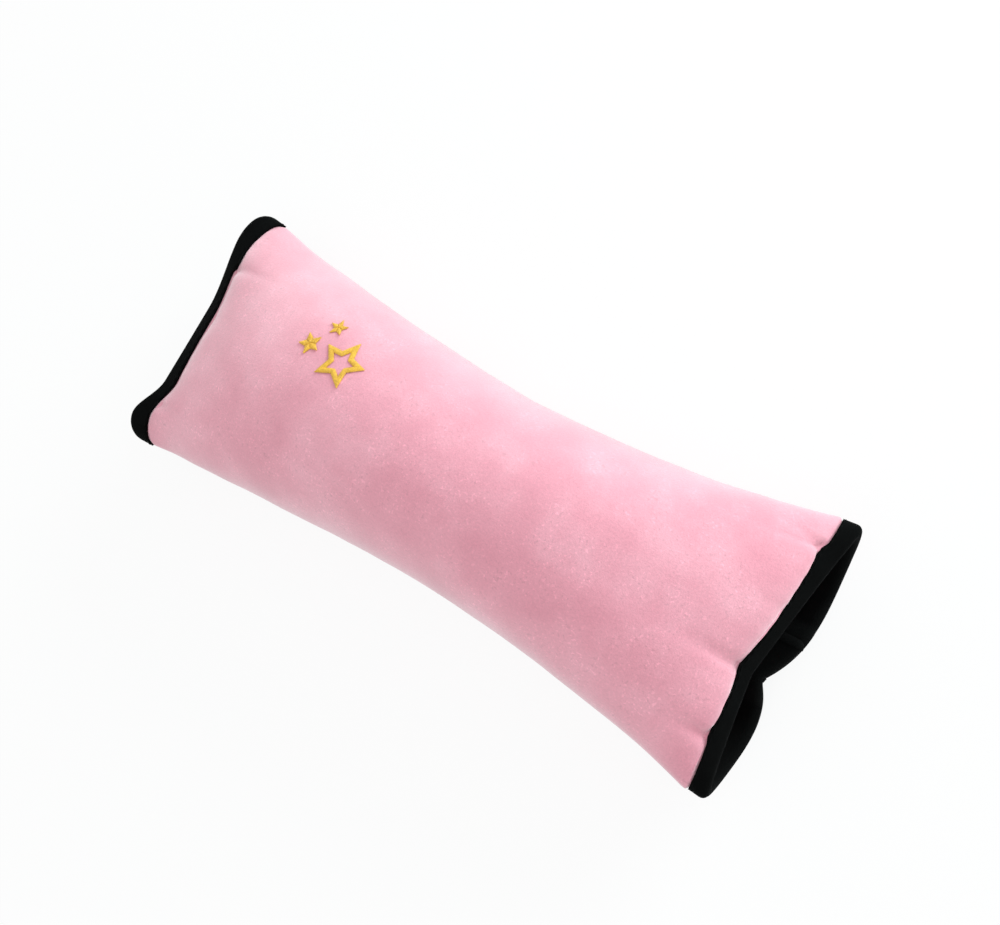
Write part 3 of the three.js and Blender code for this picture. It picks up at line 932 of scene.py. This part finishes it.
PINK_PLUSH = plush()
# The lining's pink is its own colour, made darker than the plush as painted shade for the inside of the
# tube
PINK_LINING = woven("pink_lining", linear(206, 122, 148), pitch=0.9, sheen=0.15, gloss=0.25)
WHITE_FIBRE = fuzzy("white_fibre", linear(244, 242, 238), size=1.5, depth=0.8)
BLACK_BINDING = woven("black_binding", linear(9, 10, 10), pitch=0.8, sheen=0, gloss=0.04)
HOOKS = hooked("black_hooks", linear(24, 24, 25), pitch=1.1)
LOOPS = fuzzy("black_loops", linear(28, 28, 29), size=0.6, depth=0.4)
YELLOW_THREAD = thread("yellow_thread", linear(240, 188, 62), roughness=0.4, sheen=0.2, gloss=0.5)
PINK_THREAD = thread("pink_thread", linear(226, 158, 176), roughness=0.4, sheen=0.2, gloss=0.5)
BLACK_THREAD = thread("black_thread", linear(11, 12, 12), roughness=0.7, sheen=0, gloss=0.05)

rows = stations()
plain = cover_grid(rows)
normals = normals_of(plain)
fill = fill_grid(rows)
cover = plain + normals * relief(rows, plain, fill)[..., None]
cover[..., 2] = np.maximum(cover[..., 2], 0)  # the pad is flat where it rests
lining = lining_grid(rows, fill, cover, normals)
lining_normals = unit(mix(normals, normals_of(lining), fill[..., None]))

# The cover and the lining
plush_cover = shell("plush_cover", cover, cover - normals * COVER_T, PINK_PLUSH)
add(plush_cover, "pink_plush", "outer_cover")
passage_lining = shell("passage_lining", lining + lining_normals * LINING_T, lining, PINK_LINING)
add(passage_lining, "pink_lining", "inner_lining")

# The filling between them
edge_rows = LEG_ROWS + FILLING_ROWS_IN
edge_columns = STEPS["overlap"] + FILLING_COLUMNS_IN
filled = np.s_[edge_rows:-edge_rows:FILLING_STEP, edge_columns:-edge_columns:FILLING_STEP]
under_cover = (cover - normals * (COVER_T + CLEARANCE))[filled]
over_lining = (lining + lining_normals * (LINING_T + CLEARANCE))[filled]
add(shell("fibre", under_cover, over_lining, WHITE_FIBRE), "white_fibre", "fibre_filling")

# The bindings
for end, side in SIDES.items():
    tape = binding(f"bound_end_{side}", end, rows, cover, normals, lining, BLACK_BINDING)
    add(tape, "black_binding", f"end_binding_{side}")

# The stitches that hold the bindings
seam_row = round(SEAM_STITCH_SHARE * LEG_ROWS)
for end, side in SIDES.items():
    for face, grid, out in (("outer", cover, 1), ("inner", lining, -1)):
        up = out * leg_of(normals, rows, end, out > 0)[seam_row]
        line = leg_of(grid, rows, end, out > 0)[seam_row] + up * (CLEARANCE + BINDING_T)
        name = f"binding_stitches_{side}_{face}"
        add(stitch_row(name, line, up, BINDING_STITCH, BLACK_THREAD), "black_binding")

# The flaps' closed edges, and the rows of stitches that hold the hook and loop tapes
flaps = {
    "outer": {"columns": np.arange(STEPS["overlap"] + 1), "face": cover, "side": 1},
    "inner": {"columns": -1 - np.arange(STEPS["overlap"] + 1), "face": lining, "side": -1},
}
for name, flap in flaps.items():
    edge, inside = flap["columns"][:2]
    lines = [grid[:, [edge, inside]].transpose(1, 0, 2) for grid in (cover, lining, normals)]
    between = [line[:, LEG_ROWS:-LEG_ROWS] for line in lines]
    strip = edge_strip(f"flap_edge_{name}", *between, flap["side"], EDGE_GAP, False, PINK_PLUSH)
    add(strip, "pink_plush")
    for side, bound in (("left", slice(LEG_ROWS, None, -1)), ("right", slice(-LEG_ROWS - 1, None))):
        ends = [line[:, bound] for line in lines]
        gap = CLEARANCE + BINDING_T + EDGE_GAP
        strip = edge_strip(f"binding_end_{side}_{name}", *ends, flap["side"], gap, True, BLACK_BINDING)
        add(strip, "black_binding")
    under_tape = np.abs(cover[:, edge, 0]) < TAPE_LENGTH / 2
    for row, share in TAPE_STITCH_SHARES.items():
        column = flap["columns"][round(share * STEPS["overlap"])]
        up = normals[under_tape, column] * flap["side"]
        line = flap["face"][under_tape, column]
        stitches = stitch_row(f"tape_stitches_{name}_{row}", line, up, TAPE_STITCH, PINK_THREAD)
        add(stitches, "pink_plush")

# The tapes keep their solids, with the look of hooks and of loops
for node, material in (("hook_tape", HOOKS), ("loop_tape", LOOPS)):
    frame["nodes"][node].data.materials.clear()
    frame["nodes"][node].data.materials.append(material)

# The embroidery
tree = surface_tree(cover)
for star in STARS:
    stitches = star_stitches(tree, star, YELLOW_THREAD)
    add(stitches, "yellow_thread", f"embroidered_{star['name']}")

# The setting
floor()
world()
for settings in LAMPS:
    lamp(**settings)
camera()
bpy.context.scene.view_settings.view_transform = "Standard"
